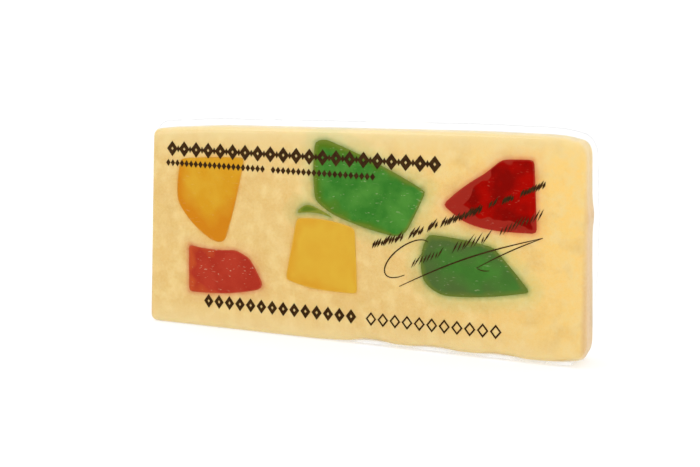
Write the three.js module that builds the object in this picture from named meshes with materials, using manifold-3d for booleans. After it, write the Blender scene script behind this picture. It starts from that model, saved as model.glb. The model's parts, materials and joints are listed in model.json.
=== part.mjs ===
// A bar of marzipan nougat with candied fruit, vacuum-packed in clear film and standing on its long edge.
// Millimetres. X runs along the bar, Y through its thickness with the shown face towards -Y, and Z is up.
// The origin is under the middle of the bar, on the surface that it stands on.
import * as THREE from 'three';
import { mergeVertices } from 'three/addons/utils/BufferGeometryUtils.js';
import Module from 'manifold-3d';

const wasm = await Module();
wasm.setup();

// Driving dimensions of the bar
const LENGTH = 176;
const HEIGHT = 80;
const THICKNESS = 18;
const EDGE_RADIUS = 2.6;
const END_SHARPENING = 0.7; // how much of the end rounding's inset comes off the section's own corners
const END_LEAN = 2.2; // how far each end leans inwards between the foot and the top
const SHOULDER = { start: 58, pull: 1.4 }; // how far the left end's upper part is drawn in, above a height

// The soft corners of the pressed block, each as a run along X and a drop or rise along Z
const TOP_LEFT = { run: 30, drop: 1.1 };
const TOP_SLOPE = { start: 45, run: 30, drop: 0.6 };
const TOP_RIGHT = { run: 15, drop: 4 };
const FOOT_RIGHT = { run: 8, rise: 5 };

// The foot is flat under the left part. Under the right part its front edge is lifted, in waves about a
// mean height, and the bar stands there on the strip behind the heel.
const FOOT_LIFT = { start: -11.4, run: 18, height: 1.5, wave: 0.5, waveLength: 24, peak: 9.6, heel: -1.5 };

// The clear film's fin, where its two sides are sealed together round the top and both ends
const FIN_TOP = 3;
const FIN_END = 2.5;
const FIN_FOOT = { height: 6, inset: 1.5 }; // where the fin runs out, above the foot and inside the ends
const FIN_THICKNESS = 0.6;
const FIN_CORNER = 5;
const FIN_SWELL_HEIGHT = HEIGHT / 3; // height above the foot where it stands out most at the ends

// Clearance between pieces that touch
const FIT_GAP = 0.3;

// Points closer than this are one point
const MERGE_TOLERANCE = 0.0001;

// How finely the curves are cut into facets
const END_STEPS = 4;
const CORNER_STEPS = 4;
const STATION_PITCH = 6;
const CHUNK_STEP = 1.5;
const CHUNK_SOFTENING = 1;
const FIN_CORNER_STEPS = 6;

const HALF_LENGTH = LENGTH / 2;
const HALF_THICKNESS = THICKNESS / 2;

// Candied fruit, cut through by both faces of the bar. Each corner is [x, z, bulge], clockwise from the top
// left as the shown face is seen, and bulge is how far the edge that leaves the corner swells outwards.
// On the far face the same cut is turned, scaled and shifted, because a chunk tapers through the bar.
const FRUIT = [
  {
    name: 'orange_left',
    colour: '#d8922a',
    corners: [
      [-71, 67.3, 0.4], [-42.7, 68.5, 0.7], [-51.8, 35.5, 0.7],
      [-57.8, 35.6, 0.8], [-69.4, 45.1, 0.3], [-72.9, 50.7, 0.9],
    ],
    far: { turn: 7, scale: 0.86, shift: [2.5, -1.5] },
  },
  {
    name: 'red_left',
    colour: '#b43a2a',
    corners: [
      [-68.2, 33, -0.8], [-47.3, 32.3, 0.2], [-40.9, 29.3, 0.3], [-35.2, 19.3, 0.3],
      [-37.3, 17.3, 0.2], [-51.4, 14.7, 0.2], [-68.4, 14.1, 0],
    ],
    far: { turn: -5, scale: 0.9, shift: [1.5, 1.2] },
  },
  {
    name: 'yellow_middle',
    colour: '#e0b03c',
    corners: [
      [-20.6, 46.4, 1.3], [3.1, 43.8, 0.1], [4.1, 19.3, 0.2],
      [-14.1, 19.7, 0.2], [-25.5, 22.5, 0.1],
    ],
    far: { turn: 4, scale: 0.9, shift: [-1.5, 0.5] },
  },
  {
    name: 'green_sliver',
    colour: '#76872b',
    corners: [[-20.8, 48.1, 0.6], [-16, 51.9, 0.5], [-5.3, 47, -1.2]],
    far: { turn: 3, scale: 0.84, shift: [-0.6, 0.6] },
  },
  {
    name: 'green_middle',
    colour: '#4a8232',
    corners: [
      [-12.9, 75.4, 0.2], [-8.4, 76.4, 0.9], [30.4, 58.8, 0.2], [23.1, 43.6, 0.4],
      [18.6, 41.8, 0.7], [-5.7, 48.5, 0.3], [-12.9, 53.7, 0.7],
    ],
    far: { turn: -6, scale: 0.88, shift: [1, 1.5] },
  },
  {
    name: 'red_right',
    colour: '#8e160e',
    corners: [
      [57.8, 71.1, 0.1], [68.9, 71.4, 0.1], [70.3, 46.1, 0.2], [55.2, 46.3, 0.4],
      [44.6, 48.8, 0.2], [36.8, 54.4, 0.7], [51.5, 65.8, 0],
    ],
    far: { turn: 5, scale: 0.9, shift: [-1, -0.5] },
  },
  {
    name: 'green_right',
    colour: '#4f7c34',
    corners: [
      [31.5, 43.4, 0.6], [55.2, 40.3, 0.3], [68.5, 25.4, 0.1],
      [57.6, 23.2, 0.4], [37.9, 21.6, 0.8], [29.8, 26.4, 1.9],
    ],
    far: { turn: -4, scale: 0.9, shift: [-1.5, -1] },
  },
];

// Turns a geometry whose faces share their corners into a solid, and back into a geometry
function solid(geometry) {
  const bare = geometry.clone();
  bare.deleteAttribute('normal');
  bare.deleteAttribute('uv');
  const merged = mergeVertices(bare, MERGE_TOLERANCE);
  const vertProperties = new Float32Array(merged.attributes.position.array);
  const triVerts = new Uint32Array(merged.index.array);
  return new wasm.Manifold(new wasm.Mesh({ numProp: 3, vertProperties, triVerts }));
}

function geometryOf(body) {
  const mesh = body.getMesh();
  const geometry = new THREE.BufferGeometry();
  geometry.setAttribute('position', new THREE.BufferAttribute(new Float32Array(mesh.vertProperties), 3));
  geometry.setIndex(new THREE.BufferAttribute(new Uint32Array(mesh.triVerts), 1));
  geometry.computeVertexNormals();
  return geometry;
}

// Joins rings of points into a closed geometry. Every ring has the same number of points, and capFaces
// lists the triangles that close the first ring.
function loft(rings, capFaces) {
  const count = rings[0].length;
  const positions = rings.flat().flatMap((point) => point.toArray());
  const faces = [];
  for (let ring = 0; ring + 1 < rings.length; ring += 1) {
    for (let k = 0; k < count; k += 1) {
      const a = ring * count + k;
      const b = ring * count + ((k + 1) % count);
      faces.push(a, b, b + count, a, b + count, a + count);
    }
  }
  const last = (rings.length - 1) * count;
  for (const [a, b, c] of capFaces) {
    faces.push(a, c, b, last + a, last + b, last + c);
  }
  const geometry = new THREE.BufferGeometry();
  geometry.setAttribute('position', new THREE.Float32BufferAttribute(positions, 3));
  geometry.setIndex(faces);
  return geometry;
}

// How far along a quarter of an ellipse has fallen at part t of its run
function quarterFall(t) {
  const along = THREE.MathUtils.clamp(t, 0, 1);
  return 1 - Math.sqrt(1 - along * along);
}

// The block: sections across the bar, from its left end to its right end
function topAt(x) {
  const left = (-x - (HALF_LENGTH - TOP_LEFT.run)) / TOP_LEFT.run;
  const right = (x - (HALF_LENGTH - TOP_RIGHT.run)) / TOP_RIGHT.run;
  const leftDrop = TOP_LEFT.drop * THREE.MathUtils.smoothstep(left, 0, 1);
  const slopeEnd = TOP_SLOPE.start + TOP_SLOPE.run;
  const slopeDrop = TOP_SLOPE.drop * THREE.MathUtils.smoothstep(x, TOP_SLOPE.start, slopeEnd);
  return HEIGHT - leftDrop - slopeDrop - TOP_RIGHT.drop * quarterFall(right);
}

function footAt(x) {
  const right = (x - (HALF_LENGTH - FOOT_RIGHT.run)) / FOOT_RIGHT.run;
  return FOOT_RIGHT.rise * quarterFall(right);
}

function footLiftAt(x) {
  const along = THREE.MathUtils.smoothstep(x, FOOT_LIFT.start, FOOT_LIFT.start + FOOT_LIFT.run);
  const phase = (2 * Math.PI * (x - FOOT_LIFT.peak)) / FOOT_LIFT.waveLength;
  return along * (FOOT_LIFT.height + FOOT_LIFT.wave * Math.cos(phase));
}

function stationsAlong(grow) {
  const radius = EDGE_RADIUS + grow;
  const reach = HALF_LENGTH + grow - radius;
  const stations = [];
  for (let k = 0; k < END_STEPS; k += 1) {
    const angle = (Math.PI / 2) * (1 - k / END_STEPS);
    stations.push({ x: -reach - radius * Math.sin(angle), inset: radius * (1 - Math.cos(angle)) });
  }
  const middle = Math.round((2 * reach) / STATION_PITCH);
  for (let k = 0; k <= middle; k += 1) {
    stations.push({ x: -reach + (2 * reach * k) / middle, inset: 0 });
  }
  for (let k = 1; k <= END_STEPS; k += 1) {
    const angle = (Math.PI / 2) * (k / END_STEPS);
    stations.push({ x: reach + radius * Math.sin(angle), inset: radius * (1 - Math.cos(angle)) });
  }
  return stations;
}

function sectionRing({ x, inset }, grow) {
  const round = EDGE_RADIUS + grow - END_SHARPENING * inset;
  const side = HALF_THICKNESS + grow - inset;
  const top = topAt(x) + grow - inset;
  const foot = footAt(x) - grow + inset;
  const corners = [
    { y: side - round, z: top - round, from: 0 },
    { y: -side + round, z: top - round, from: 1 },
    { y: -side + round, z: foot + footLiftAt(x) + round, from: 2 },
    { y: side - round, z: foot + round, from: 3 },
  ];
  const ring = corners.flatMap((corner) => {
    const arc = [];
    for (let k = 0; k <= CORNER_STEPS; k += 1) {
      const angle = (Math.PI / 2) * (corner.from + k / CORNER_STEPS);
      const y = corner.y + round * Math.cos(angle);
      const z = corner.z + round * Math.sin(angle);
      arc.push(new THREE.Vector3(x, y, z));
    }
    return arc;
  });
  ring.splice(3 * (CORNER_STEPS + 1), 0, new THREE.Vector3(x, FOOT_LIFT.heel, foot));
  for (const point of ring) {
    const raised = x < 0 ? THREE.MathUtils.smoothstep(point.z, SHOULDER.start, HEIGHT) : 0;
    point.x *= 1 - ((END_LEAN * point.z) / HEIGHT + SHOULDER.pull * raised) / HALF_LENGTH;
  }
  return ring;
}

function block(grow = 0) {
  const rings = stationsAlong(grow).map((station) => sectionRing(station, grow));
  const fan = [];
  for (let k = 1; k + 1 < rings[0].length; k += 1) {
    fan.push([0, k, k + 1]);
  }
  return solid(loft(rings, fan));
}

// A chunk of fruit: its outline on the near face, grown where it is to cut the hole that holds it
function chunkOutline(corners, grow) {
  let points = [];
  corners.forEach(([x, z, bulge], k) => {
    const start = new THREE.Vector2(x, z);
    const end = new THREE.Vector2(...corners[(k + 1) % corners.length]);
    const edge = end.clone().sub(start);
    const outwards = new THREE.Vector2(-edge.y, edge.x).normalize();
    const control = start.clone().add(end).multiplyScalar(0.5).addScaledVector(outwards, 2 * bulge);
    const steps = Math.max(2, Math.round(edge.length() / CHUNK_STEP));
    points.push(...new THREE.QuadraticBezierCurve(start, control, end).getPoints(steps).slice(0, -1));
  });
  for (let pass = 0; pass < CHUNK_SOFTENING; pass += 1) {
    points = points.map((point, k) => {
      const between = points.at(k - 1).clone().lerp(points[(k + 1) % points.length], 0.5);
      return point.clone().lerp(between, 0.5);
    });
  }
  return points.map((point, k) => {
    const along = points[(k + 1) % points.length].clone().sub(points.at(k - 1)).normalize();
    return point.clone().addScaledVector(new THREE.Vector2(-along.y, along.x), grow);
  });
}

function chunk({ corners, far }, grow = 0) {
  const near = chunkOutline(corners, grow);
  const centre = near.reduce((sum, point) => sum.add(point), new THREE.Vector2()).divideScalar(near.length);
  const [shiftX, shiftZ] = far.shift;
  const distant = near.map((point) => {
    const moved = point.clone().rotateAround(centre, THREE.MathUtils.degToRad(far.turn));
    moved.sub(centre).multiplyScalar(far.scale).add(centre);
    return moved.add(new THREE.Vector2(shiftX, shiftZ));
  });
  // It runs on past both faces, where the block trims it
  const beyond = EDGE_RADIUS / THICKNESS;
  const rings = [-beyond, 1 + beyond].map((share) =>
    near.map((point, k) => {
      const across = point.clone().lerp(distant[k], share);
      return new THREE.Vector3(across.x, (share - 0.5) * THICKNESS, across.y);
    }),
  );
  // The outline runs clockwise, and the triangles that fill it come out anticlockwise
  const cap = THREE.ShapeUtils.triangulateShape(near, []).map(([a, b, c]) => [a, c, b]);
  return solid(loft(rings, cap));
}

// The fin of clear film: a thin plate in the middle plane, cut out where the bar lies in it
function filmFin() {
  const side = HALF_LENGTH - END_LEAN + FIN_END;
  const top = HEIGHT + FIN_TOP;
  const topRight = top - TOP_SLOPE.drop;
  const swell = HALF_LENGTH + FIN_END;
  const foot = HALF_LENGTH - FIN_FOOT.inset;
  const plate = new THREE.Shape();
  plate.moveTo(-foot, FIN_FOOT.height);
  plate.lineTo(foot, FIN_FOOT.height);
  plate.quadraticCurveTo(swell, FIN_SWELL_HEIGHT, side, topRight - FIN_CORNER);
  plate.quadraticCurveTo(side, topRight, side - FIN_CORNER, topRight);
  plate.lineTo(-side + FIN_CORNER, top);
  plate.quadraticCurveTo(-side, top, -side, top - FIN_CORNER);
  plate.quadraticCurveTo(-swell, FIN_SWELL_HEIGHT, -foot, FIN_FOOT.height);
  const geometry = new THREE.ExtrudeGeometry(plate, {
    depth: FIN_THICKNESS,
    bevelEnabled: false,
    curveSegments: FIN_CORNER_STEPS,
  });
  geometry.rotateX(Math.PI / 2);
  geometry.translate(0, FIN_THICKNESS / 2, 0);
  return solid(geometry).subtract(block(FIT_GAP));
}

const bar = new THREE.Group();

function addPiece(name, body, colour, roughness, extra = {}) {
  const material = new THREE.MeshStandardMaterial({ color: colour, roughness, metalness: 0, ...extra });
  const mesh = new THREE.Mesh(geometryOf(body), material);
  mesh.name = name;
  bar.add(mesh);
}

const whole = block();
let marzipan = whole;
for (const fruit of FRUIT) {
  marzipan = marzipan.subtract(chunk(fruit, FIT_GAP));
  addPiece(fruit.name, chunk(fruit).intersect(whole), fruit.colour, 0.35);
}
addPiece('marzipan', marzipan, '#eec983', 0.6);
addPiece('film_fin', filmFin(), '#f4f4f0', 0.15, { transparent: true, opacity: 0.35 });

export default bar;
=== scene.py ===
# A bar of marzipan nougat with candied fruit in a clear vacuum pack, standing on its long narrow edge.
# Metres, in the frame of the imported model: X along the bar, the shown face towards -Y, and Z up.
import json
import math

import bmesh
import bpy
import numpy as np
from mathutils import Matrix, Vector, noise
from mathutils.bvhtree import BVHTree

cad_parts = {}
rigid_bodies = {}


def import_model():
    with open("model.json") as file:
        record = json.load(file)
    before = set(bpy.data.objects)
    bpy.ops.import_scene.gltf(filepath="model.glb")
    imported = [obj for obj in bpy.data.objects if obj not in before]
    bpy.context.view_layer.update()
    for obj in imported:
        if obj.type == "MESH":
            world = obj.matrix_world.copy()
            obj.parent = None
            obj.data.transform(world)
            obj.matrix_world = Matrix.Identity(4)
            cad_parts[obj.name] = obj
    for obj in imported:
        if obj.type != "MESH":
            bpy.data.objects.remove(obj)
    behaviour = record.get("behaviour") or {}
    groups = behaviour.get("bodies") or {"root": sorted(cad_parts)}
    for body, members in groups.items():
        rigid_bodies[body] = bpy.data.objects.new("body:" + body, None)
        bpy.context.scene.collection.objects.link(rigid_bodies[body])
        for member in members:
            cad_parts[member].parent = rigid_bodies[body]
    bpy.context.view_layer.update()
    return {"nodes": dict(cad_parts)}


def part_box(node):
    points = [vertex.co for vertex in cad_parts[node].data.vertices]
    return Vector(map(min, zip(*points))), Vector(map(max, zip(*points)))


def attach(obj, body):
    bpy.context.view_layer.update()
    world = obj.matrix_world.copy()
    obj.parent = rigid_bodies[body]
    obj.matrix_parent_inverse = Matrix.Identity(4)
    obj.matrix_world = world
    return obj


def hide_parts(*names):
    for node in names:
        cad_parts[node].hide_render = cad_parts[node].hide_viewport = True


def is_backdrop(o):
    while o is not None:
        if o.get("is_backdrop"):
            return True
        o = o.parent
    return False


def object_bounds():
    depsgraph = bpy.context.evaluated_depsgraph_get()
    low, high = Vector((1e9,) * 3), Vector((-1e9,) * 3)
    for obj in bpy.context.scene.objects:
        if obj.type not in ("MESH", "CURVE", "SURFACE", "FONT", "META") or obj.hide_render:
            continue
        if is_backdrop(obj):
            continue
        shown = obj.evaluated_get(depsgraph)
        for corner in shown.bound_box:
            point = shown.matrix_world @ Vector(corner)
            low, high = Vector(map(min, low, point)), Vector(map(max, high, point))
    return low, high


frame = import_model()

# The marzipan: almond paste with sugar, pressed into a flat bar and cut through by the fruit. Its faces are
# slightly uneven under the tight film, and the dye of the fruit has bled a few millimetres into it. Painted
# light is in its colour too: it is painted paler along the top and the foot and a little towards the ends,
# brighter and warmer towards the right end and the top, and its two end faces are darkened as painted shade.
MM = 0.001
SAME_PLACE = 0.001 * MM
SHARP_CORNER = math.radians(50)
PASTE_NET = 0.8 * MM
PASTE_SMOOTHING = 3
FRUIT_KINDS = {
    "red": ("red_left", "red_right"),
    "green": ("green_middle", "green_sliver", "green_right"),
    "amber": ("orange_left", "yellow_middle"),
}
FRUIT_NODES = [node for nodes in FRUIT_KINDS.values() for node in nodes]
STAIN_REACH = 8 * MM
# What the dye does to the paste close by and further off: its tint, how far it reaches and how fast it fades
STAINS = {
    "red": (((0.88, 0.55, 0.55), 1.8 * MM, 1.3), ((0.95, 0.84, 0.84), 5 * MM, 1.0)),
    "green": (((0.55, 0.68, 0.55), 1.8 * MM, 1.3), ((0.76, 0.94, 0.93), 6.5 * MM, 1.0)),
    "amber": (((0.98, 0.88, 0.70), 1.5 * MM, 1.3), ((1.0, 0.97, 0.93), 4 * MM, 1.0)),
}
BLEEDING_SPOTS = 3 * MM
BLEEDING_UNEVENNESS = 0.35
PASTE_COLOUR = (0.750, 0.503, 0.172)
# The pale colour serves both as the painted light along the edges and as the colour of the pale crumbs
PASTE_PALE = (0.820, 0.652, 0.322)
# Painted light: the brighter, warmer tone of the paste towards the right end and the top
PASTE_LIT_WARM = (0.915, 0.605, 0.165)
PASTE_YELLOW = (0.835, 0.630, 0.265)
PASTE_OILY = (0.680, 0.415, 0.115)
# Painted shade on the two end faces, darker and pinker than the front
PASTE_END_SHADE = (0.690, 0.428, 0.195)
MOTTLING = (  # size of the spots, noise at which they start and are full, colour
    (5 * MM, 0.45, 0.65, PASTE_YELLOW),
    (8 * MM, 0.5, 0.75, PASTE_OILY),
)
MOTTLING_DETAIL = 3.0
MOTTLING_SHARE = 0.7
# Painted light along the edges: how far in from the top, the foot and the ends the paste is painted paler, how
# fast that fades, and how ragged its inner border is
EDGE_PAINTED_LIGHT = 15 * MM
EDGE_PAINTED_LIGHT_FADE = 2.0
EDGE_RAGGEDNESS = 2 * MM
EDGE_RAGGED_SPOTS = 9 * MM
END_PAINTED_LIGHT_STARTS = 7 * MM
# How deep from the ends the painted shade reaches, and how much of it there is
END_SHADE_DEPTH = (0.8 * MM, 2.2 * MM)
END_SHADE_SHARE = 0.85
CRUMB_SIZE = 0.9 * MM
CRUMB_SHARE = 0.35
CRUMB_RISE = 0.05 * MM
# The direction and the span over which the painted light brightens and warms the paste
LIT_WARM_TOWARDS = (1, 0, 0.5)
LIT_WARM_SPAN = (30 * MM, 120 * MM)
LUMP = {"height": 51.5 * MM, "reach": 4 * MM, "depth": 4 * MM, "proud": 0.8 * MM}
RELIEF = (  # length, height and rise of the swellings, and where their noise is cut
    (34 * MM, 26 * MM, 0.16 * MM, 3.1),
    (7 * MM, 7 * MM, 0.035 * MM, 8.7),
)
RELIEF_SUNK = 0.12 * MM
RELIEF_FADE = 6
FILLING_OVERLAP = 0.5 * MM
KNIFE_OVERSHOOT = 1 * MM
SQUARE_ON = 0.9
bar_low, bar_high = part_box("marzipan")
HALF_THICKNESS = bar_high.y


def placed(bm, name):
    """A scene object with the shape in bm, which is used up."""
    mesh = bpy.data.meshes.new(name)
    bm.to_mesh(mesh)
    bm.free()
    item = bpy.data.objects.new(name, mesh)
    bpy.context.scene.collection.objects.link(item)
    return item


def shape_of(item):
    """The item's shape with its modifiers applied, as a bmesh."""
    bm = bmesh.new()
    bm.from_mesh(item.evaluated_get(bpy.context.evaluated_depsgraph_get()).data)
    return bm


def discard(item):
    """Removes a helper object and its mesh."""
    mesh = item.data
    bpy.data.objects.remove(item)
    bpy.data.meshes.remove(mesh)


def joined_copy(node):
    """The CAD node's loose triangles, joined into one closed shape."""
    bm = bmesh.new()
    bm.from_mesh(frame["nodes"][node].data)
    bmesh.ops.remove_doubles(bm, verts=bm.verts, dist=SAME_PLACE)
    bm.normal_update()
    return bm


def evenly_netted(bm, pitch, rounds):
    """The closed shape in bm, made again of small even faces and smoothed a number of rounds."""
    coarse = placed(bm, "coarse")
    net = coarse.modifiers.new("even net", "REMESH")
    net.mode = "VOXEL"
    net.voxel_size = pitch
    fine = shape_of(coarse)
    discard(coarse)
    for _ in range(rounds):
        bmesh.ops.smooth_vert(
            fine, verts=fine.verts, factor=0.5, use_axis_x=True, use_axis_y=True, use_axis_z=True
        )
    return fine


def face_relief(x, z):
    """How far a pressed face stands out of its plane at x, z."""
    proud = -RELIEF_SUNK
    for length, height, rise, cut in RELIEF:
        proud += rise * noise.noise(Vector((x / length, cut, z / height)))
    return proud


def settle_faces(bm):
    """Moves the shape's two large faces onto the uneven pressed surface."""
    for vert in bm.verts:
        share = min(1.0, abs(vert.co.y) / HALF_THICKNESS) ** RELIEF_FADE
        vert.co.y += math.copysign(1.0, vert.co.y) * share * face_relief(vert.co.x, vert.co.z)


def cut_outlines(node):
    """The fruit's outline on the shown face and on the far face, each as rows of X and Z."""
    bm = joined_copy(node)
    bmesh.ops.dissolve_limit(bm, angle_limit=math.radians(1), verts=bm.verts, edges=bm.edges)
    outlines = []
    for side in (-1, 1):
        cut = max(bm.faces, key=lambda face: side * face.normal.y * face.calc_area())
        outlines.append(np.array([(vert.co.x, vert.co.z) for vert in cut.verts]))
    bm.free()
    return outlines


def distance_to(places, outline):
    """How far each place, a row of X and Z, lies from the outline."""
    edge = np.roll(outline, -1, axis=0) - outline
    reach = places[:, None] - outline
    along = np.clip((reach * edge).sum(2) / (edge**2).sum(1), 0, 1)
    return np.linalg.norm(reach - along[..., None] * edge, axis=2).min(1)


def mark_distance(mesh, name, nodes, limit):
    """Keeps, as a vertex attribute, the distance to the nearest outline of the nodes, up to the limit."""
    flat = np.empty(len(mesh.vertices) * 3)
    mesh.vertices.foreach_get("co", flat)
    points = flat.reshape(-1, 3)
    places = points[:, [0, 2]]
    distances = np.full(len(points), limit)
    for node in nodes:
        for outline, on_this_side in zip(cut_outlines(node), (points[:, 1] <= 0, points[:, 1] > 0)):
            inside_reach = (places > outline.min(0) - limit) & (places < outline.max(0) + limit)
            near = on_this_side & inside_reach.all(1)
            distances[near] = np.minimum(distances[near], distance_to(places[near], outline))
    mesh.attributes.new(name, "FLOAT", "POINT").data.foreach_set("value", distances)


def finished(bm, name, slot, *nodes):
    """Makes the shape in bm a piece that rides on the bar and stands for the given CAD nodes."""
    piece = placed(bm, name)
    piece.data.shade_smooth()
    piece.data.set_sharp_from_angle(angle=SHARP_CORNER)
    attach(piece, "root")
    if nodes:
        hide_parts(*nodes)
    return piece


def new_material(piece, name):
    """A node material on the piece: its tree, its main shader and its object coordinates."""
    material = bpy.data.materials.new(name)
    material.use_nodes = True
    piece.data.materials.append(material)
    tree = material.node_tree
    where = tree.nodes.new("ShaderNodeTexCoord").outputs["Object"]
    return tree, tree.nodes["Principled BSDF"], where


def join(tree, socket, value):
    """Links a socket to the given one, or sets it to the given value."""
    if isinstance(value, bpy.types.NodeSocket):
        tree.links.new(value, socket)
    elif socket.type == "RGBA":
        socket.default_value = (*value, 1)
    else:
        socket.default_value = value


def add_node(tree, kind, **inputs):
    """A shader node with its named inputs set to values or joined to sockets."""
    made = tree.nodes.new("ShaderNode" + kind)
    for name, value in inputs.items():
        join(tree, made.inputs[name.replace("_", " ")], value)
    return made


def mixed(tree, factor, first, second, blend="MIX"):
    """A mix of two colours."""
    mix = tree.nodes.new("ShaderNodeMix")
    mix.data_type = "RGBA"
    mix.blend_type = blend
    for index, value in ((0, factor), (6, first), (7, second)):
        join(tree, mix.inputs[index], value)
    return mix.outputs[2]


def ramp(tree, value, low, high, at_low=0.0, at_high=1.0):
    """A value mapped from the range low to high onto at_low to at_high."""
    span = add_node(tree, "MapRange", Value=value, From_Min=low, From_Max=high, To_Min=at_low, To_Max=at_high)
    return span.outputs[0]


def maths(tree, operation, *values):
    """The result of one of Blender's named operations on one or two values."""
    node = tree.nodes.new("ShaderNodeMath")
    node.operation = operation
    for socket, value in zip(node.inputs, values):
        join(tree, socket, value)
    return node.outputs[0]


def spots(tree, where, size, detail=2.0):
    """Noise between 0 and 1 whose spots are about as wide as size."""
    return add_node(tree, "TexNoise", Vector=where, Scale=1 / size, Detail=detail).outputs[0]


def along_direction(tree, where, direction):
    """How far a point lies along a direction."""
    product = tree.nodes.new("ShaderNodeVectorMath")
    product.operation = "DOT_PRODUCT"
    join(tree, product.inputs[0], where)
    product.inputs[1].default_value = direction
    return product.outputs["Value"]


def kept_value(tree, name):
    """A vertex attribute's value."""
    attribute = tree.nodes.new("ShaderNodeAttribute")
    attribute.attribute_name = name
    return attribute.outputs["Fac"]


# The bar with its fruit as one form, so that the paste and the fruit are cut from one surface
bar = joined_copy("marzipan")
for node in FRUIT_NODES:
    filling = joined_copy(node)
    for vert in filling.verts:
        vert.co += FILLING_OVERLAP * Vector((vert.normal.x, 0, vert.normal.z)).normalized()
    filling = placed(filling, "filling")
    bar.from_mesh(filling.data)
    discard(filling)
bar = evenly_netted(bar, PASTE_NET, PASTE_SMOOTHING)
settle_faces(bar)
for vert in bar.verts:
    near_end = min(1.0, max(0.0, (vert.co.x - bar_high.x + LUMP["depth"]) / LUMP["depth"]))
    at_height = math.exp(-(((vert.co.z - LUMP["height"]) / LUMP["reach"]) ** 2))
    vert.co.x += LUMP["proud"] * at_height * near_end
bar_form = placed(bar, "bar form")

# The fruit's own solids, drawn out past the two faces, are the knives that part it from the paste
knives = {}
for node in FRUIT_NODES:
    knife = joined_copy(node)
    for side in (-1, 1):
        cut_face = [face for face in knife.faces if side * face.normal.y > SQUARE_ON]
        drawn = bmesh.ops.extrude_face_region(knife, geom=cut_face)["geom"]
        bmesh.ops.delete(knife, geom=cut_face, context="FACES")
        drawn = [item for item in drawn if isinstance(item, bmesh.types.BMVert)]
        bmesh.ops.translate(knife, verts=drawn, vec=(0, side * KNIFE_OVERSHOOT, 0))
    knives[node] = placed(knife, "knife " + node)
for knife in knives.values():
    cut = bar_form.modifiers.new("cut", "BOOLEAN")
    cut.operation = "DIFFERENCE"
    cut.solver = "MANIFOLD"
    cut.object = knife
paste = finished(shape_of(bar_form), "marzipan_paste", "marzipan", "marzipan")
bar_form.modifiers.clear()
for kind, nodes in FRUIT_KINDS.items():
    mark_distance(paste.data, "to_" + kind, nodes, STAIN_REACH)
# Distances to the nearer end, and to the nearest of the top, the foot and the ends (set further off), which
# place the painted shade on the ends and the painted light along the edges
to_edge = paste.data.attributes.new("to_edge", "FLOAT", "POINT")
to_end = paste.data.attributes.new("to_end", "FLOAT", "POINT")
for vert, edge_value, end_value in zip(paste.data.vertices, to_edge.data, to_end.data):
    end_value.value = min(vert.co.x - bar_low.x, bar_high.x - vert.co.x)
    edge_value.value = min(end_value.value + END_PAINTED_LIGHT_STARTS, vert.co.z, bar_high.z - vert.co.z)

tree, shader, where = new_material(paste, "marzipan")
# Painted light: the paste is painted brighter and warmer towards the right end and the top
painted_warm_light = ramp(tree, along_direction(tree, where, LIT_WARM_TOWARDS), *LIT_WARM_SPAN)
colour = mixed(tree, painted_warm_light, PASTE_COLOUR, PASTE_LIT_WARM)
for size, starts, full, tint in MOTTLING:
    mottled = ramp(tree, spots(tree, where, size, MOTTLING_DETAIL), starts, full, 0, MOTTLING_SHARE)
    colour = mixed(tree, mottled, colour, tint)
# Painted light: the paste is painted paler along the top, the foot and a little towards the ends, with a
# ragged inner border
ragged = ramp(tree, spots(tree, where, EDGE_RAGGED_SPOTS), 0, 1, -EDGE_RAGGEDNESS, EDGE_RAGGEDNESS)
inward = maths(tree, "ADD", kept_value(tree, "to_edge"), ragged)
painted_edge_light = maths(tree, "POWER", ramp(tree, inward, 0, EDGE_PAINTED_LIGHT, 1, 0), EDGE_PAINTED_LIGHT_FADE)
colour = mixed(tree, painted_edge_light, colour, PASTE_PALE)
# Painted shade: the two end faces of the paste are painted darker and pinker
painted_end_shade = ramp(tree, kept_value(tree, "to_end"), *END_SHADE_DEPTH, END_SHADE_SHARE, 0)
colour = mixed(tree, painted_end_shade, colour, PASTE_END_SHADE)
crumb = ramp(tree, spots(tree, where, CRUMB_SIZE, MOTTLING_DETAIL), 0.3, 0.7)
colour = mixed(tree, maths(tree, "MULTIPLY", crumb, CRUMB_SHARE), colour, PASTE_PALE)
bleeding = ramp(tree, spots(tree, where, BLEEDING_SPOTS), 0.2, 0.8, -0.5, 0.5)
for kind, halos in STAINS.items():
    for tint, width, fading in halos:
        unevenly = maths(tree, "MULTIPLY", bleeding, BLEEDING_UNEVENNESS * width)
        reach = maths(tree, "ADD", kept_value(tree, "to_" + kind), unevenly)
        fresh = maths(tree, "POWER", ramp(tree, reach, 0, width, 1, 0), fading)
        colour = mixed(tree, fresh, colour, tint, "MULTIPLY")
join(tree, shader.inputs["Base Color"], colour)
shader.inputs["Roughness"].default_value = 0.55
shader.inputs["Specular IOR Level"].default_value = 0.2
shader.inputs["Subsurface Weight"].default_value = 0.25
shader.inputs["Subsurface Radius"].default_value = (1.0, 0.6, 0.25)
shader.inputs["Subsurface Scale"].default_value = 0.5 * MM
grain = add_node(tree, "Bump", Height=crumb, Strength=0.25, Distance=CRUMB_RISE)
tree.links.new(grain.outputs[0], shader.inputs["Normal"])

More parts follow.
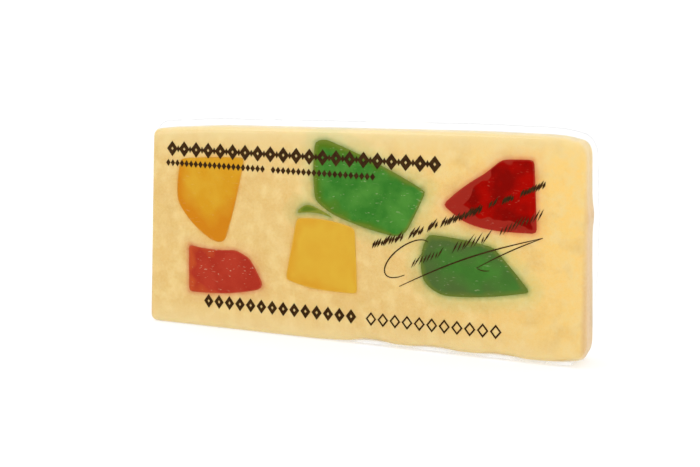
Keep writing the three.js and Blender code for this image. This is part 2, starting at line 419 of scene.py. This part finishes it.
# The candied fruit: sugared slices of fruit and peel, cut through flush with the bar. A slice is clear jelly
# with clouds of a second shade and a few sugar grains in it. It is hazy towards one side, where the film
# lies over it dry, and it pales in a narrow rim, where the paste has drawn its dye.
# Colours, the side of the haze (X, Z), and in mm its width opposite and there, its blur and the rim's width
FRUIT = {
    "orange_left": {
        "slot": "candied_orange",
        "flesh": (0.650, 0.350, 0.026),
        "clouds": (0.630, 0.305, 0.016),
        "haze": (0.595, 0.215, 0.010),
        "haze towards": (-0.4, -1),
        "haze width": (-5, 13),
        "haze blur": 7,
        "rim": (0.66, 0.33, 0.060),
        "rim width": 0.5,
        "grains": 0.12,
    },
    "yellow_middle": {
        "slot": "candied_yellow",
        "flesh": (0.680, 0.405, 0.040),
        "clouds": (0.665, 0.375, 0.035),
        "haze": (0.650, 0.325, 0.026),
        "haze towards": (-1, -0.5),
        "haze width": (-4, 5),
        "haze blur": 6,
        "rim": (0.70, 0.42, 0.080),
        "rim width": 0.5,
        "grains": 0,
    },
    "green_middle": {
        "slot": "candied_green",
        "flesh": (0.072, 0.248, 0.034),
        "clouds": (0.036, 0.180, 0.020),
        "haze": (0.085, 0.170, 0.010),
        "haze towards": (-1, -0.2),
        "haze width": (-1.5, 3.5),
        "haze blur": 4,
        "rim": (0.160, 0.200, 0.028),
        "rim width": 1.5,
        "grains": 0.25,
    },
    "green_sliver": {
        "slot": "candied_green",
        "flesh": (0.135, 0.200, 0.016),
        "clouds": (0.110, 0.175, 0.014),
        "haze": (0.165, 0.215, 0.022),
        "haze towards": (-1, 0),
        "haze width": (0, 1),
        "haze blur": 1,
        "rim": (0.25, 0.26, 0.035),
        "rim width": 1.0,
        "grains": 0,
    },
    "green_right": {
        "slot": "candied_green",
        "flesh": (0.060, 0.210, 0.028),
        "clouds": (0.050, 0.165, 0.024),
        "haze": (0.074, 0.132, 0.032),
        "haze towards": (-1, 0.4),
        "haze width": (-1, 10),
        "haze blur": 8,
        "rim": (0.142, 0.180, 0.027),
        "rim width": 2.0,
        "grains": 0.2,
    },
    "red_left": {
        "slot": "candied_red",
        "flesh": (0.435, 0.042, 0.021),
        "clouds": (0.390, 0.032, 0.016),
        "haze": (0.490, 0.072, 0.020),
        "haze towards": (-1, 0),
        "haze width": (-3, 1.5),
        "haze blur": 2.5,
        "rim": (0.50, 0.085, 0.035),
        "rim width": 0.6,
        "grains": 0.4,
    },
    "red_right": {
        "slot": "candied_deep_red",
        "flesh": (0.215, 0.0022, 0.0008),
        "clouds": (0.375, 0.0022, 0.0003),
        "haze": (0.330, 0.021, 0.012),
        "haze towards": (-0.5, -0.5),
        "haze width": (-2, 7),
        "haze blur": 0.5,
        "rim": (0.40, 0.035, 0.018),
        "rim width": 0.7,
        "grains": 0.06,
    },
}
DEPTH_LIMIT = 20 * MM
HAZE_WANDER = 2.5 * MM
HAZE_SPOTS = 8 * MM
CLOUD_SPOTS = 9 * MM
RIM_WANDER = (0.6, 1.4)
SUGAR = (0.75, 0.68, 0.45)
SUGAR_GRAINS = ((0.7 * MM, 0.67), (1.3 * MM, 0.73))  # size, and the noise at which a grain starts
SUGAR_GRAIN_EDGE = 0.07
SUGAR_PATCHES = 7 * MM
SUGAR_LEAN = math.radians(35)
SUGAR_STRETCH = 0.4
DIMPLE_RISE = 0.05 * MM

flesh_group = bpy.data.node_groups.new("candied flesh", "ShaderNodeTree")
for name, kind, way in (
    ("Place", "NodeSocketVector", "INPUT"),
    ("Depth", "NodeSocketFloat", "INPUT"),
    ("Flesh", "NodeSocketColor", "INPUT"),
    ("Clouds", "NodeSocketColor", "INPUT"),
    ("Haze", "NodeSocketColor", "INPUT"),
    ("Haze Width", "NodeSocketFloat", "INPUT"),
    ("Haze Blur", "NodeSocketFloat", "INPUT"),
    ("Rim", "NodeSocketColor", "INPUT"),
    ("Rim Width", "NodeSocketFloat", "INPUT"),
    ("Grains", "NodeSocketFloat", "INPUT"),
    ("Colour", "NodeSocketColor", "OUTPUT"),
    ("Height", "NodeSocketFloat", "OUTPUT"),
):
    flesh_group.interface.new_socket(name=name, in_out=way, socket_type=kind)
given = flesh_group.nodes.new("NodeGroupInput").outputs
result = flesh_group.nodes.new("NodeGroupOutput").inputs
wander = ramp(flesh_group, spots(flesh_group, given["Place"], HAZE_SPOTS, detail=1.0), 0.3, 0.7, -1, 1)
shore = maths(flesh_group, "MULTIPLY", wander, HAZE_WANDER)
shore = maths(flesh_group, "ADD", shore, given["Haze Width"])
past_shore = maths(flesh_group, "SUBTRACT", given["Depth"], shore)
dry = ramp(flesh_group, maths(flesh_group, "DIVIDE", past_shore, given["Haze Blur"]), -0.5, 0.5, 1, 0)
cloud = ramp(flesh_group, spots(flesh_group, given["Place"], CLOUD_SPOTS, detail=4.0), 0.4, 0.6)
colour = mixed(flesh_group, cloud, given["Flesh"], given["Clouds"])
colour = mixed(flesh_group, dry, colour, given["Haze"])
rim_wander = ramp(flesh_group, wander, -1, 1, *RIM_WANDER)
rim_reach = maths(flesh_group, "MULTIPLY", given["Rim Width"], rim_wander)
rim = maths(flesh_group, "SUBTRACT", 1.0, maths(flesh_group, "DIVIDE", given["Depth"], rim_reach))
colour = mixed(flesh_group, ramp(flesh_group, rim, 0, 1), colour, given["Rim"])
drawn_out = flesh_group.nodes.new("ShaderNodeMapping")
drawn_out.inputs["Rotation"].default_value = (0, SUGAR_LEAN, 0)
drawn_out.inputs["Scale"].default_value = (SUGAR_STRETCH, 1, 1)
flesh_group.links.new(given["Place"], drawn_out.inputs["Vector"])
sugary = ramp(flesh_group, spots(flesh_group, given["Place"], SUGAR_PATCHES), 0.4, 0.65, 0.1, 1)
for grain_size, starts in SUGAR_GRAINS:
    grains = spots(flesh_group, drawn_out.outputs[0], grain_size, detail=1.0)
    grains = ramp(flesh_group, grains, starts, starts + SUGAR_GRAIN_EDGE, 0, given["Grains"])
    colour = mixed(flesh_group, maths(flesh_group, "MULTIPLY", grains, sugary), colour, SUGAR)
join(flesh_group, result["Colour"], colour)
join(flesh_group, result["Height"], dry)

for node, look in FRUIT.items():
    cut = bar_form.modifiers.new("cut", "BOOLEAN")
    cut.operation = "INTERSECT"
    cut.solver = "MANIFOLD"
    cut.object = knives[node]
    fruit = finished(shape_of(bar_form), "fruit_" + node, look["slot"], node)
    bar_form.modifiers.clear()
    mark_distance(fruit.data, "depth", [node], DEPTH_LIMIT)
    tree, shader, where = new_material(fruit, "candied " + node)
    low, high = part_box(node)
    towards = Vector((look["haze towards"][0], 0, look["haze towards"][1]))
    middle = towards.dot((low + high) / 2)
    reach = Vector([abs(part) for part in towards]).dot((high - low) / 2)
    across = along_direction(tree, where, towards)
    clear_width, hazy_width = look["haze width"]
    haze_width = ramp(tree, across, middle - reach, middle + reach, clear_width * MM, hazy_width * MM)
    group = tree.nodes.new("ShaderNodeGroup")
    group.node_tree = flesh_group
    for name, value in (
        ("Place", where),
        ("Depth", kept_value(tree, "depth")),
        ("Flesh", look["flesh"]),
        ("Clouds", look["clouds"]),
        ("Haze", look["haze"]),
        ("Haze Width", haze_width),
        ("Haze Blur", look["haze blur"] * MM),
        ("Rim", look["rim"]),
        ("Rim Width", look["rim width"] * MM),
        ("Grains", look["grains"]),
    ):
        join(tree, group.inputs[name], value)
    join(tree, shader.inputs["Base Color"], group.outputs["Colour"])
    shader.inputs["Roughness"].default_value = 0.35
    shader.inputs["Specular IOR Level"].default_value = 0.0
    dimples = add_node(tree, "Bump", Height=group.outputs["Height"], Strength=0.3, Distance=DIMPLE_RISE)
    tree.links.new(dimples.outputs[0], shader.inputs["Normal"])

for item in [bar_form, *knives.values()]:
    discard(item)

# The clear film: a thin bag drawn tight round the bar by the vacuum. It spans straight over the lifted edge
# of the foot, where it is slack; there it is painted white as painted glare, with painted grey shade in its
# folds, and its two sides are sealed to a thin fin round the top and both ends.
FILM_NET = 1.0 * MM
FILM_SMOOTHING = 4
FILM_PROUD = 0.2 * MM
FILM_OFF_FLOOR = 0.02 * MM
FOOT_FOLD = {"short of end": 6 * MM, "behind face": 1.3 * MM, "height": 0.1 * MM, "points": 8}
FIN_HALF = 0.12 * MM
FIN_FOOT = 5 * MM
FIN_STEPS = 4
FIN_EASE = 30 * MM
FIN_LEAST_SHARE = 0.02
FIN_WAVE = {"length": 11 * MM, "rise": 0.1 * MM, "cut": 5.2}
FILM_WHITE = (0.97, 0.97, 0.97)
# The grey of the painted shade in the film's folds
FILM_CREASE_SHADE = (0.84, 0.83, 0.83)
SLACK_GLARE = (0.35 * MM, 0.9 * MM)
SLACK_GLARE_MOST = 0.8
SLACK_CREASE_SHADE = (14 * MM, 14 * MM, 1.1 * MM)
CREASED_WIDTH = 14 * MM
WRINKLES = (12 * MM, 3 * MM, 3 * MM)
WRINKLE_DEPTH = 0.6 * MM
FILM_SHINE = (0.035, 0.3)
FILM_SHINE_FADE = 5.0
SEAL_SHINE = 0.14
fin_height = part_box("film_fin")[1].z - bar_high.z - FILM_PROUD


def stretched(tree, where, sizes):
    """The place scaled so that noise of size 1 gets spots of the given sizes along X, Y and Z."""
    mapping = tree.nodes.new("ShaderNodeMapping")
    mapping.inputs["Scale"].default_value = [1 / size for size in sizes]
    join(tree, mapping.inputs["Vector"], where)
    return mapping.outputs[0]


# Points along the front of the foot hold the film down where the edge of the paste is lifted
bm = joined_copy("marzipan")
for x in np.linspace(0, bar_high.x - FOOT_FOLD["short of end"], FOOT_FOLD["points"]):
    bm.verts.new((x, FOOT_FOLD["behind face"] - HALF_THICKNESS, FOOT_FOLD["height"]))
hull = bmesh.ops.convex_hull(bm, input=bm.verts)
skin = {item for item in hull["geom"] if isinstance(item, bmesh.types.BMFace)}
bmesh.ops.delete(bm, geom=[face for face in bm.faces if face not in skin], context="FACES_ONLY")
bmesh.ops.delete(bm, geom=[vert for vert in bm.verts if not vert.link_faces], context="VERTS")
bm = evenly_netted(bm, FILM_NET, FILM_SMOOTHING)
settle_faces(bm)
slack_layer = bm.verts.layers.float.new("slack")
fin_edge_layer = bm.verts.layers.float.new("fin_edge")
# Wherever it isn't slack, the film is set just clear of what it wraps
contents = shape_of(paste)
for fruit in [item for item in bpy.data.objects if item.name.startswith("fruit_")]:
    contents.from_mesh(fruit.data)
contents_tree = BVHTree.FromBMesh(contents)
contents.free()
bm.normal_update()
for vert in bm.verts:
    nearest = contents_tree.find_nearest(vert.co)[0]
    outside = (vert.co - nearest).dot(vert.normal)
    vert[slack_layer] = max(0.0, outside) * abs(vert.normal.y)
    vert.co += vert.normal * max(0.0, FILM_PROUD - outside)
    vert.co.z = max(vert.co.z, FILM_OFF_FLOOR)
for side in (-1, 1):
    everything = bm.verts[:] + bm.edges[:] + bm.faces[:]
    bmesh.ops.bisect_plane(bm, geom=everything, plane_co=(0, side * FIN_HALF, 0), plane_no=(0, 1, 0))
# The fin is drawn out of the strip between the two cuts
strip = [face for face in bm.faces if abs(face.calc_center_median().y) < FIN_HALF]
strip = [face for face in strip if face.calc_center_median().z > FIN_FOOT]
for step in range(FIN_STEPS):
    raised = bmesh.ops.extrude_face_region(bm, geom=strip)["geom"]
    bmesh.ops.delete(bm, geom=strip, context="FACES")
    strip = [item for item in raised if isinstance(item, bmesh.types.BMFace)]
    bm.normal_update()
    for vert in [item for item in raised if isinstance(item, bmesh.types.BMVert)]:
        ease = min(1.0, max(FIN_LEAST_SHARE, (vert.co.z - FIN_FOOT) / FIN_EASE))
        outwards = Vector((vert.normal.x, 0, vert.normal.z)).normalized()
        along, up = vert.co.x / FIN_WAVE["length"], vert.co.z / FIN_WAVE["length"]
        wave = noise.noise(Vector((along, FIN_WAVE["cut"], up)))
        vert.co += outwards * ease * fin_height / FIN_STEPS
        vert.co.y += FIN_WAVE["rise"] * wave * (step + 1)
        vert[fin_edge_layer] = float(step == FIN_STEPS - 1)
film = finished(bm, "clear_film", "clear_film", "film_fin")

tree, shader, where = new_material(film, "clear film")
# Painted glare and shade: where the film is slack it turns to white diffuse film, streaked with painted grey
# shade along its folds
glare = ramp(tree, kept_value(tree, "slack"), *SLACK_GLARE, 0, SLACK_GLARE_MOST)
painted_crease_shade = ramp(tree, spots(tree, stretched(tree, where, SLACK_CREASE_SHADE), 1.0), 0.52, 0.62)
join(tree, shader.inputs["Base Color"], mixed(tree, painted_crease_shade, FILM_WHITE, FILM_CREASE_SHADE))
join(tree, shader.inputs["Metallic"], maths(tree, "LESS_THAN", glare, 0.01))
shader.inputs["Roughness"].default_value = 0.14
sideways = maths(tree, "ABSOLUTE", add_node(tree, "SeparateXYZ", Vector=where).outputs[0])
drawn_in = ramp(tree, sideways, bar_high.x - CREASED_WIDTH, bar_high.x, 0, 1)
wrinkles = maths(tree, "MULTIPLY", drawn_in, spots(tree, stretched(tree, where, WRINKLES), 1.0))
wrinkled = add_node(tree, "Bump", Height=wrinkles, Strength=0.5, Distance=WRINKLE_DEPTH)
tree.links.new(wrinkled.outputs[0], shader.inputs["Normal"])
clear = tree.nodes.new("ShaderNodeBsdfTransparent")
facing = add_node(tree, "LayerWeight", Blend=0.5).outputs["Facing"]
shine = ramp(tree, maths(tree, "POWER", facing, FILM_SHINE_FADE), 0, 1, *FILM_SHINE)
sealed_edge = ramp(tree, kept_value(tree, "fin_edge"), 0, 1, 0, SEAL_SHINE)
cover = tree.nodes.new("ShaderNodeMixShader")
join(tree, cover.inputs[0], maths(tree, "MAXIMUM", maths(tree, "MAXIMUM", shine, sealed_edge), glare))
tree.links.new(clear.outputs[0], cover.inputs[1])
tree.links.new(shader.outputs[0], cover.inputs[2])
tree.links.new(cover.outputs[0], tree.nodes["Material Output"].inputs["Surface"])

# The print: dark brown ink on the inner side of the film, over the shown face only. Two rows of plain marks
# run along the top and one along the foot, and across the middle two rows of pen strokes and a long rule
# rise to the right.
INK_LIFT = 0.11 * MM
INK_THICKNESS = 0.05 * MM
INK_DARK = (0.040, 0.014, 0.001)
INK_WORN = (0.068, 0.030, 0.004)
INK_SPOTS = 1.2 * MM
# In mm: start and end (X, Z), a mark's height and width, the pitch, and its frame's stroke or 0 if it is solid
INK_ROWS = (
    ((-74.9, 71.1), (33.6, 68.6), 6.2, 4.9, 5.4, 1.5),
    ((-72.2, 71.0), (30.9, 68.7), 2.8, 1.5, 5.4, 0),
    ((-76.9, 65.5), (-34.9, 64.4), 2.8, 2.0, 2.15, 0),
    ((-30.4, 64.2), (10.1, 63.2), 2.8, 2.0, 2.15, 0),
    ((-59.4, 11.0), (1.6, 10.6), 5.6, 4.2, 4.6, 1.25),
    ((9.6, 10.4), (56.6, 10.4), 5.3, 4.2, 4.9, 0.6),
)
# Start and end (X, Z), height and width of a pen stroke and their pitch
INK_RUNS = (
    ((10.6, 38.6), (21.4, 41.8), 4.8, 0.95, 1.15),
    ((25.2, 43.1), (29.0, 44.8), 4.6, 0.95, 1.15),
    ((32.0, 46.0), (34.4, 47.2), 4.4, 0.95, 1.15),
    ((37.0, 48.0), (50.4, 53.4), 4.8, 0.95, 1.15),
    ((54.0, 55.4), (55.6, 56.0), 3.6, 0.95, 1.15),
    ((58.7, 57.0), (61.6, 58.2), 4.2, 0.95, 1.15),
    ((65.0, 59.8), (72.4, 63.0), 4.2, 0.95, 1.15),
    ((26.0, 32.6), (36.0, 37.0), 4.6, 0.55, 1.6),
    ((41.5, 39.4), (53.0, 43.6), 5.4, 0.55, 1.7),
    ((58.0, 46.4), (71.5, 52.6), 5.4, 0.55, 1.7),
)
# Start and end (X, Z), swing to the side, width
INK_STROKES = (
    ((20.6, 23.6), (72.4, 44.7), 1.8, 0.5),
    ((72.4, 44.7), (49.3, 32.6), -0.5, 0.42),
    ((49.3, 32.6), (54.0, 32.0), -0.5, 0.36),
)
# A long open oval: middle (X, Z), half its length and width, in degrees its lean and the span drawn
INK_LOOP = {
    "middle": (23.5, 34.0),
    "radii": (10.4, 4.6),
    "lean": 38,
    "span": (5, 245),
    "width": 0.45,
}
INK_LEAN = math.radians(25)
# The hand's unevenness: over what distance it changes, and what it does to rise, lean and height
UNEVEN = {"over": 1.3, "rise": 0.8, "lean": 0.25, "height": (0.9, 0.8)}
RIBBON_STEPS = 32
RIBBON_TIP = 0.45
RIBBON_AHEAD = 0.001


def ink_mark(bm, centre, turn, height, width):
    """A solid lozenge about a centre (X, Z), turned clockwise from upright."""
    upright = Matrix.Translation((centre.x * MM, 0, centre.y * MM)) @ Matrix.Rotation(turn, 4, "Y")
    facing = Matrix.Rotation(math.pi / 2, 4, "X") @ Matrix.Diagonal((width * MM, height * MM, 1, 1))
    mark = bmesh.ops.create_circle(bm, cap_ends=True, segments=4, radius=0.5, matrix=upright @ facing)
    return mark["verts"][0].link_faces[0]


def ink_row(bm, start, end, height, width, pitch, stroke):
    """A row of lozenges between two points, solid or as frames of the given stroke."""
    start, end = Vector(start), Vector(end)
    count = round((end - start).length / pitch)
    slope = math.atan2(end.y - start.y, end.x - start.x)
    for index in range(count + 1):
        lozenge = ink_mark(bm, start.lerp(end, index / count), -slope, height, width)
        if stroke:
            bmesh.ops.inset_region(
                bm, faces=[lozenge], thickness=stroke * MM, use_boundary=True, use_even_offset=True
            )
            bmesh.ops.delete(bm, geom=[lozenge], context="FACES")


def ink_run(bm, start, end, height, width, pitch):
    """Uneven slanting pen strokes between two points, as a quick hand sets them."""
    start, end = Vector(start), Vector(end)
    count = round((end - start).length / pitch)
    for index in range(count + 1):
        centre = start.lerp(end, index / count)
        unevenness = noise.noise(Vector((centre.x / UNEVEN["over"], centre.y / UNEVEN["over"], 0)))
        centre.y += UNEVEN["rise"] * unevenness
        lean = INK_LEAN + UNEVEN["lean"] * unevenness
        usual, change = UNEVEN["height"]
        ink_mark(bm, centre, lean, height * (usual + change * unevenness), width)


def ink_ribbon(bm, centre, width):
    """A pen line along the points centre(0) to centre(1), drawn out thin at both ends."""
    ribbon = bmesh.ops.create_grid(bm, x_segments=RIBBON_STEPS, y_segments=1, size=0.5)
    for vert in ribbon["verts"]:
        share = vert.co.x + 0.5
        ahead = centre(share + RIBBON_AHEAD) - centre(share - RIBBON_AHEAD)
        across = Vector((-ahead.y, ahead.x)).normalized()
        taper = RIBBON_TIP + (1 - RIBBON_TIP) * math.sin(math.pi * share)
        place = centre(share) + across * math.copysign(0.5 * width * taper, vert.co.y)
        vert.co = (place.x * MM, 0, place.y * MM)


def ink_stroke(bm, start, end, swing, width):
    """A bowed pen line between two points."""
    start, run = Vector(start), Vector(end) - Vector(start)
    side = Vector((-run.y, run.x)).normalized()
    ink_ribbon(bm, lambda share: start + run * share + side * swing * math.sin(math.pi * share), width)


def ink_loop(bm, middle, radii, lean, span, width):
    """A pen line round part of a leaning oval."""
    first, last = (math.radians(angle) for angle in span)

    def centre(share):
        angle = first + (last - first) * share
        point = Vector((radii[0] * math.cos(angle), radii[1] * math.sin(angle)))
        return Vector(middle) + Matrix.Rotation(math.radians(lean), 2) @ point

    ink_ribbon(bm, centre, width)


bm = bmesh.new()
for row in INK_ROWS:
    ink_row(bm, *row)
for run in INK_RUNS:
    ink_run(bm, *run)
for stroke in INK_STROKES:
    ink_stroke(bm, *stroke)
ink_loop(bm, **INK_LOOP)
bmesh.ops.solidify(bm, geom=bm.faces, thickness=INK_THICKNESS)
bmesh.ops.recalc_face_normals(bm, faces=bm.faces)
for vert in bm.verts:
    vert.co.y -= HALF_THICKNESS + face_relief(vert.co.x, vert.co.z) + INK_LIFT
ink = finished(bm, "print_marks", "clear_film")
tree, shader, where = new_material(ink, "brown ink")
worn = ramp(tree, spots(tree, where, INK_SPOTS), 0.35, 0.75)
join(tree, shader.inputs["Base Color"], mixed(tree, worn, INK_DARK, INK_WORN))
shader.inputs["Roughness"].default_value = 0.5
shader.inputs["Specular IOR Level"].default_value = 0.1

# The floor, the soft light and the camera, which aren't part of the bar. The floor is a light table, lit from
# below. Only the side of the room behind the bar shines back from the film, as in a studio with a dark
# camera side.
FLOOR_HALF = 6
FLOOR_GREY = (0.5, 0.5, 0.5)
FLOOR_GLOW = 0.55
ROOM_LIGHT = 1.1
ROOM_BRIGHTENS = (-0.2, 0.5)
ROOM_MIRRORED = (0.02, 0.9)
LAMPS = (  # name, place, size, power
    ("above", (-0.35, -0.15, 0.95), 0.6, 1.4),
    ("right", (0.95, -0.40, 0.25), 0.5, 0.4),
    ("front left", (-0.75, -0.75, 0.55), 0.5, 0.6),
)
LAMPS_AIM = (0, 0, 0.04)
CAMERA_PLACE = (0.13736, -0.33635, 0.10045)
CAMERA_TURN = math.radians(22.58)
CAMERA_PITCH = math.radians(6.44)
FRAME_WIDTH = 700
FRAME_DROP = 50

bm = bmesh.new()
bmesh.ops.create_grid(bm, x_segments=1, y_segments=1, size=FLOOR_HALF)
floor = placed(bm, "floor")
floor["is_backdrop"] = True
floor.visible_glossy = False
tree, shader, where = new_material(floor, "pale floor")
shader.inputs["Base Color"].default_value = (*FLOOR_GREY, 1)
shader.inputs["Emission Color"].default_value = (1, 1, 1, 1)
shader.inputs["Emission Strength"].default_value = FLOOR_GLOW
shader.inputs["Roughness"].default_value = 0.8
shader.inputs["Specular IOR Level"].default_value = 0.0

world = bpy.data.worlds.new("studio")
bpy.context.scene.world = world
world.use_nodes = True
tree = world.node_tree
room = tree.nodes["Background"]
direction = add_node(tree, "SeparateXYZ", Vector=tree.nodes.new("ShaderNodeTexCoord").outputs["Generated"])
mirrored = ramp(tree, direction.outputs[1], *ROOM_BRIGHTENS, *ROOM_MIRRORED)
is_glossy = tree.nodes.new("ShaderNodeLightPath").outputs["Is Glossy Ray"]
join(tree, room.inputs["Color"], mixed(tree, is_glossy, (1, 1, 1), mirrored))
room.inputs["Strength"].default_value = ROOM_LIGHT

for name, place, size, power in LAMPS:
    lamp = bpy.data.lights.new(name, "AREA")
    lamp.shape = "DISK"
    lamp.size = size
    lamp.energy = power
    light = bpy.data.objects.new(name, lamp)
    bpy.context.scene.collection.objects.link(light)
    light.location = place
    light.rotation_mode = "QUATERNION"
    light.rotation_quaternion = (Vector(place) - Vector(LAMPS_AIM)).to_track_quat("Z", "Y")

lens = bpy.data.cameras.new("camera")
lens.lens = 50
lens.sensor_width = 36
lens.shift_y = -FRAME_DROP / FRAME_WIDTH
camera = bpy.data.objects.new("camera", lens)
bpy.context.scene.collection.objects.link(camera)
camera.location = CAMERA_PLACE
camera.rotation_euler = (math.pi / 2 - CAMERA_PITCH, 0, CAMERA_TURN)
bpy.context.scene.camera = camera
bpy.context.scene.view_settings.view_transform = "Standard"

low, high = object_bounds()
